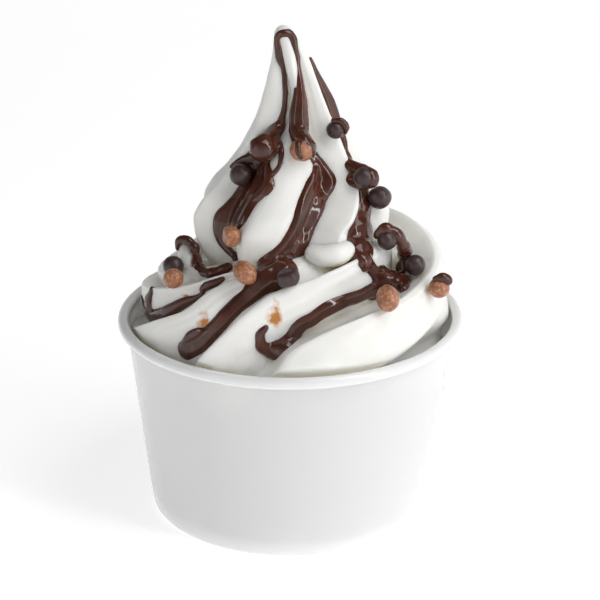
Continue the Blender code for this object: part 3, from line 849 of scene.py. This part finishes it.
def build_pearl(node, material, waves):
    """The pearl's solid with its facets rounded off, at the size it had."""
    bm = bmesh.new()
    bm.from_mesh(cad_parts[node].data)
    bmesh.ops.remove_doubles(bm, verts=bm.verts, dist=SMALLEST_EDGE * MM)
    pearl = new_object(node + "_coat", bm, material)
    rounded = pearl.modifiers.new("rounded", "SUBSURF")
    rounded.levels = PEARL_LEVELS
    apply_modifiers(pearl)
    points, _ = mesh_arrays(pearl.data)
    low, high = (np.array(corner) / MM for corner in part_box(node))
    middle = (points.max(0) + points.min(0)) / 2
    shrunk = points.max(0) - points.min(0)
    set_points(pearl.data, (low + high) / 2 + (points - middle) * (high - low) / shrunk)
    roughen(pearl.data, waves)
    pearl.data.shade_smooth()
    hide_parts(node)
    return pearl


# ---------------------------------------------------------------- stage
def area_light(name, place, size, power):
    data = bpy.data.lights.new(name, "AREA")
    data.shape = "RECTANGLE"
    data.size, data.size_y = size
    data.energy = power
    light = bpy.data.objects.new(name, data)
    bpy.context.scene.collection.objects.link(light)
    light.location = place
    light.rotation_euler = (Vector(LIGHT_AIM) - Vector(place)).to_track_quat("-Z", "Y").to_euler()


def build_world():
    """Soft surroundings, brightest at the right and dimmest at the left and high above."""
    world = bpy.data.worlds.new("studio")
    bpy.context.scene.world = world
    world.use_nodes = True
    nodes, links = world.node_tree.nodes, world.node_tree.links
    direction = nodes.new("ShaderNodeTexCoord")
    split = nodes.new("ShaderNodeSeparateXYZ")
    front = nodes.new("ShaderNodeMath")
    front.operation = "MULTIPLY"
    front.inputs[1].default_value = -1.0
    angle = nodes.new("ShaderNodeMath")
    angle.operation = "ARCTAN2"
    share = nodes.new("ShaderNodeMapRange")
    share.inputs["From Min"].default_value = -math.pi
    share.inputs["From Max"].default_value = math.pi
    ramp = nodes.new("ShaderNodeValToRGB")
    elements = ramp.color_ramp.elements
    ramp.color_ramp.interpolation = "EASE"
    while len(elements) < len(SURROUNDINGS):
        elements.new(0.5)
    for element, (degrees, strength) in zip(elements, SURROUNDINGS):
        element.position = degrees / 360 + 0.5
        element.color = (strength, strength, strength, 1)
    links.new(direction.outputs["Generated"], split.inputs[0])
    links.new(split.outputs["Y"], front.inputs[0])
    links.new(split.outputs["X"], angle.inputs[0])
    links.new(front.outputs[0], angle.inputs[1])
    links.new(angle.outputs[0], share.inputs["Value"])
    links.new(share.outputs["Result"], ramp.inputs["Fac"])
    links.new(ramp.outputs["Color"], nodes["Background"].inputs["Color"])
    height = nodes.new("ShaderNodeMapRange")
    height.inputs["From Min"].default_value = 0.05
    height.inputs["From Max"].default_value = 0.7
    height.inputs["To Min"].default_value = 1.0
    height.inputs["To Max"].default_value = OVERHEAD
    links.new(split.outputs["Z"], height.inputs["Value"])
    links.new(height.outputs["Result"], nodes["Background"].inputs["Strength"])


def build_stage():
    """Plain pale floor that glows a little, and the lights."""
    shader = Shader("floor", Roughness=0.10, Base_Color=(0.75, 0.75, 0.75, 1),
                    Emission_Color=(1, 1, 1, 1), Emission_Strength=FLOOR_GLOW)
    bm = bmesh.new()
    bmesh.ops.create_grid(bm, x_segments=4, y_segments=4, size=4)
    new_object("floor", bm, shader.material)
    build_world()
    for name, place, size, power in LIGHTS:
        area_light(name, place, size, power)


def build_camera():
    """The photo's view, level from side to side."""
    elevation = math.radians(CAMERA_ELEVATION)
    upright = Vector((0, math.sin(elevation), math.cos(elevation)))
    aim = Vector(CAMERA_AIM) - CAMERA_DROP * upright
    data = bpy.data.cameras.new("camera")
    data.lens = CAMERA_LENS
    data.sensor_width = CAMERA_SENSOR
    camera = bpy.data.objects.new("camera", data)
    bpy.context.scene.collection.objects.link(camera)
    camera.location = aim + CAMERA_DISTANCE * Vector((0, -math.cos(elevation), math.sin(elevation)))
    camera.rotation_euler = (math.pi / 2 - elevation, 0, 0)
    bpy.context.scene.camera = camera


def main():
    paper, cream, chocolate = paper_material(), yogurt_material(), sauce_material()
    dark, milk = dark_pearl_material(), milk_pearl_material()
    cup = build_cup(paper)
    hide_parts("cup")
    yogurt = build_yogurt(cream)
    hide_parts("yogurt")
    lumps = build_lumps(cream)
    pearls = {}
    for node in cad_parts:
        if "milk" in node:
            pearls[node] = build_pearl(node, milk, MILK_WAVES)
        elif "dark" in node:
            pearls[node] = build_pearl(node, dark, DARK_WAVES)
    surface = surface_under_sauce([yogurt, lumps, *(pearls[node] for node in COVERED)])
    sauce = build_sauce(surface, chocolate)
    for piece in (cup, yogurt, lumps, sauce, *pearls.values()):
        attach(piece, "root")
    build_stage()
    build_camera()
    bpy.context.scene.view_settings.view_transform = "Standard"


main()
